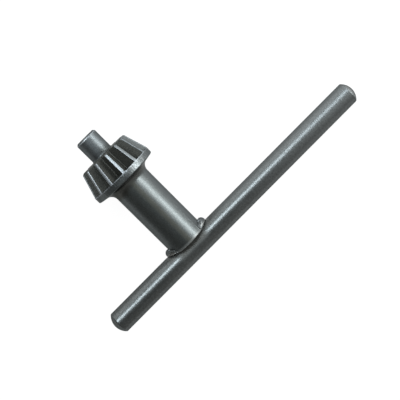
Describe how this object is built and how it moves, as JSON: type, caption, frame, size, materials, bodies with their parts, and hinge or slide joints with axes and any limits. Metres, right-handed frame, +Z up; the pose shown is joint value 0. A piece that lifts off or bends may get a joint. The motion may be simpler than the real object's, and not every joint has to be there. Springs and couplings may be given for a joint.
{
  "type": "drill chuck key",
  "caption": "T-shaped chuck key: pilot pin, bevel pinion with a collar, stout shank and a round handle bar welded off-centre across its end.",
  "frame": {"origin": "centre of the bounding box's footprint, on the surface the key lies on", "axes": "-Y along the handle bar towards its long arm, which dips 2 degrees; +X from the handle towards the pilot, rising 10 degrees; +Z up"},
  "size_m": [0.0416, 0.084, 0.018],
  "materials": {
    "pinion_shank": "satin dark steel, worn bright on the tooth edges",
    "handle_bar": "satin dark steel"
  },
  "bodies": {
    "root": {"pinion_shank": "pinion_shank", "handle_bar": "handle_bar"}
  },
  "joints": []
}
